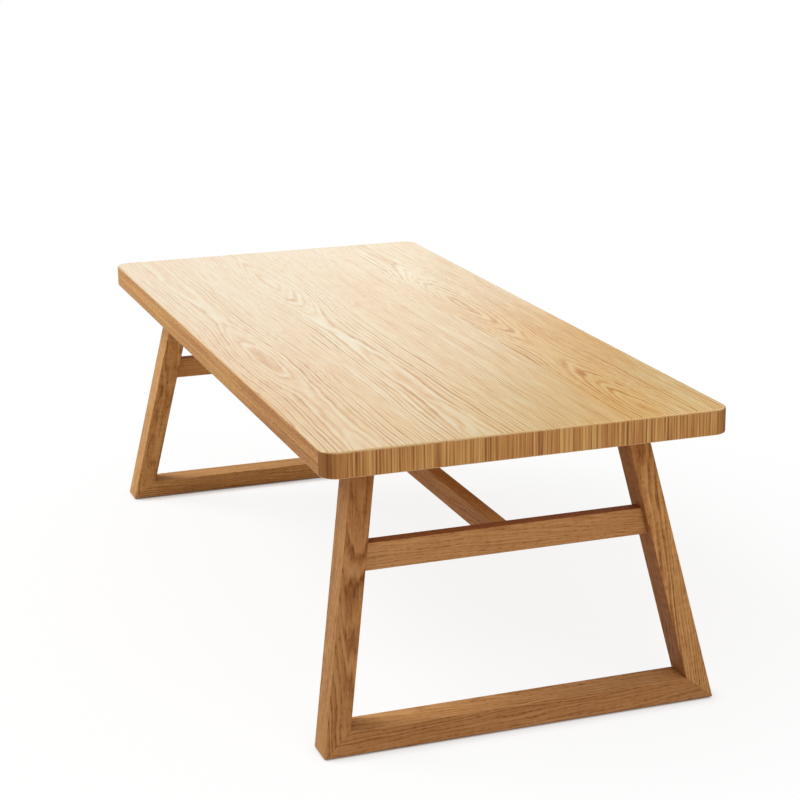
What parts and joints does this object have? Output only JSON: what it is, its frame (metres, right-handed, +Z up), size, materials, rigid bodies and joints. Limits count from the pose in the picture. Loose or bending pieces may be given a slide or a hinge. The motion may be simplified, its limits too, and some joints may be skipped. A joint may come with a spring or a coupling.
{
  "type": "dining table",
  "caption": "Solid oak dining table: thick rounded-corner plank top on two leaning trapezoid end frames, tied by crossbars and a long central stretcher.",
  "frame": {"origin": "on the floor, under the middle of the top", "axes": "+X along the table's length towards end a, +Y across it towards the right side, +Z up"},
  "size_m": [2.2, 1, 0.75],
  "materials": {
    "oak_top": "satin clear lacquer on pale oak",
    "oak_frame": "satin clear lacquer on honey-brown oak",
    "beech": "planed, unfinished",
    "zinc_steel": "bright zinc plate",
    "brass": "turned",
    "nylon": "moulded, dark brown"
  },
  "bodies": {
    "root": {"top_board_1": "oak_top", "top_board_2": "oak_top", "top_board_3": "oak_top", "top_board_4": "oak_top", "top_board_5": "oak_top", "top_board_6": "oak_top", "top_board_7": "oak_top", "top_spline_1": "beech", "top_spline_2": "beech", "top_spline_3": "beech", "top_spline_4": "beech", "top_spline_5": "beech", "top_spline_6": "beech", "leg_a_left": "oak_frame", "leg_a_right": "oak_frame", "leg_b_left": "oak_frame", "leg_b_right": "oak_frame", "floor_rail_a": "oak_frame", "floor_rail_b": "oak_frame", "head_rail_a": "oak_frame", "head_rail_b": "oak_frame", "crossbar_a": "oak_frame", "crossbar_b": "oak_frame", "stretcher": "oak_frame", "mitre_tenon_a_foot_left": "beech", "mitre_tenon_a_foot_right": "beech", "mitre_tenon_a_head_left": "beech", "mitre_tenon_a_head_right": "beech", "mitre_tenon_b_foot_left": "beech", "mitre_tenon_b_foot_right": "beech", "mitre_tenon_b_head_left": "beech", "mitre_tenon_b_head_right": "beech", "stretcher_pin_a": "beech", "stretcher_pin_b": "beech", "top_bolt_a_1": "zinc_steel", "top_bolt_a_2": "zinc_steel", "top_bolt_a_3": "zinc_steel", "top_bolt_b_1": "zinc_steel", "top_bolt_b_2": "zinc_steel", "top_bolt_b_3": "zinc_steel", "washer_a_1": "zinc_steel", "washer_a_2": "zinc_steel", "washer_a_3": "zinc_steel", "washer_b_1": "zinc_steel", "washer_b_2": "zinc_steel", "washer_b_3": "zinc_steel", "threaded_insert_a_1": "brass", "threaded_insert_a_2": "brass", "threaded_insert_a_3": "brass", "threaded_insert_b_1": "brass", "threaded_insert_b_2": "brass", "threaded_insert_b_3": "brass", "foot_glide_a_left": "nylon", "foot_glide_a_right": "nylon", "foot_glide_b_left": "nylon", "foot_glide_b_right": "nylon"}
  },
  "joints": []
}
